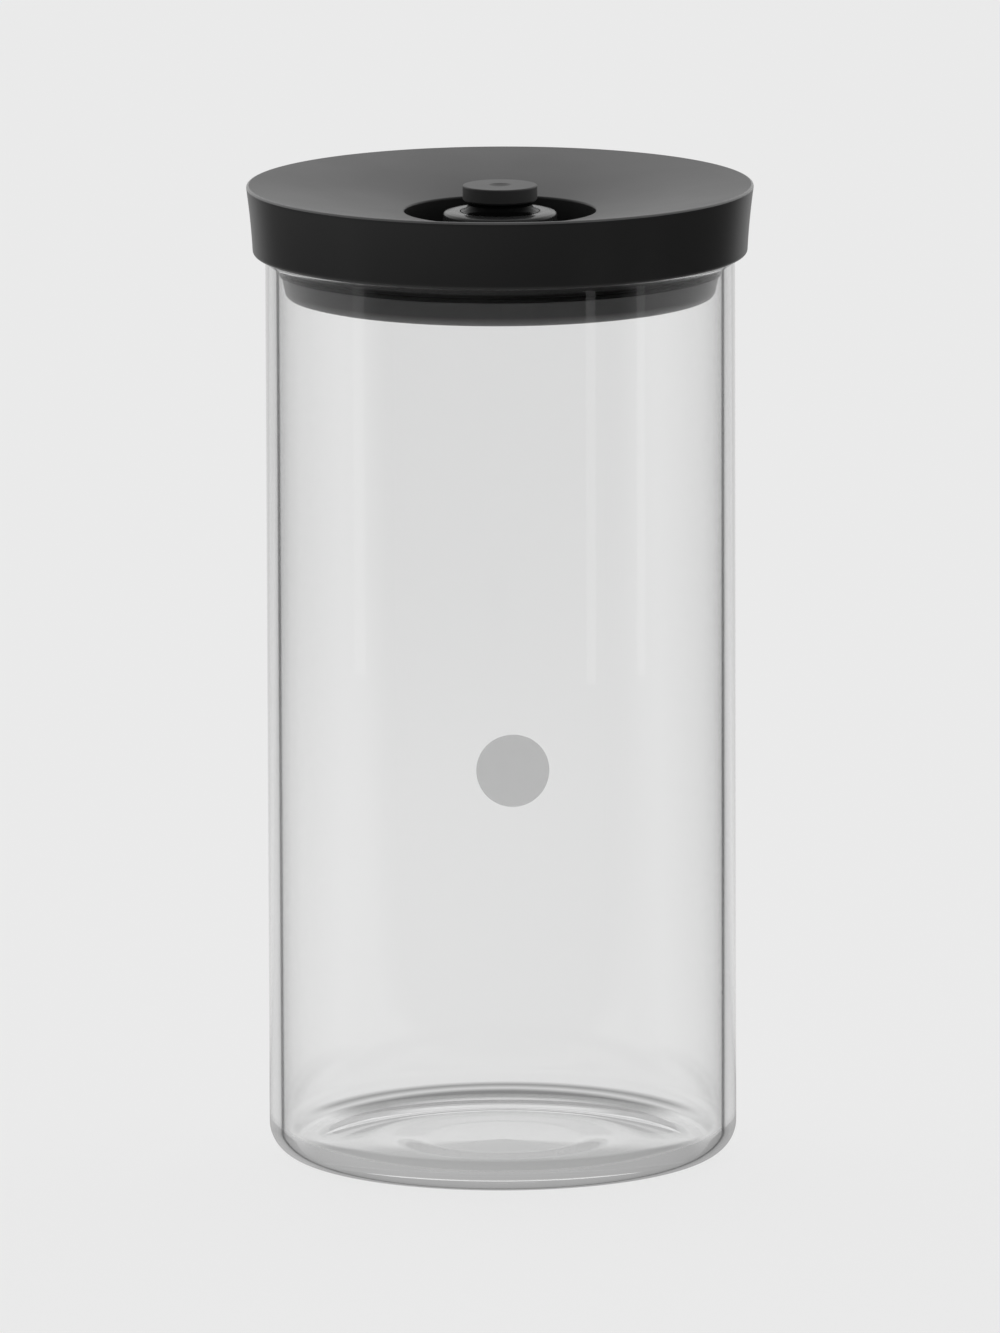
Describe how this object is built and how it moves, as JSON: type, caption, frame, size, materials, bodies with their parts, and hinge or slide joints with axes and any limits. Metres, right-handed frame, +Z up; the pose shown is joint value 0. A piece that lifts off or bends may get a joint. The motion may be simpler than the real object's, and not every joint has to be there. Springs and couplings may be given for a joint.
{
  "type": "vacuum seal canister",
  "caption": "Straight round glass canister with a dark press-to-seal lid: dished top, finger well with a sprung pull-knob vent valve, and a gasketed plug.",
  "frame": {"origin": "on the jar's axis at the level that it stands on", "axes": "+Z up along the axis of the jar, the lid and the valve; -Y is the side that faces the viewer"},
  "size_m": [0.106, 0.106, 0.2055],
  "materials": {
    "clear_glass": "clear, fire polished",
    "lid_plastic": "fine satin moulding",
    "knob_plastic": "matte moulding",
    "silicone": "glossy silicone",
    "steel": "plain stainless"
  },
  "bodies": {
    "jar": {"glass_jar": "clear_glass"},
    "lid": {"lid_cover": "lid_plastic", "lid_base": "lid_plastic", "sealing_ring": "silicone", "valve_collar": "lid_plastic", "collar_o_ring": "silicone", "vent_grille": "lid_plastic"},
    "valve": {"valve_knob": "knob_plastic", "valve_skirt": "silicone", "valve_stem": "steel", "spring_cup": "steel", "retaining_clip": "steel", "valve_spring": "steel"}
  },
  "joints": [
    {"name": "lid_lift", "type": "slide", "parent": "jar", "child": "lid", "axis": [0, 0, 1], "range_m": [0, 0.08]},
    {"name": "valve_pull", "type": "slide", "parent": "lid", "child": "valve", "axis": [0, 0, 1], "range_m": [0, 0.003], "stiffness_N_per_m": 150, "springref_m": -0.002, "deforming": ["valve_spring"]}
  ]
}
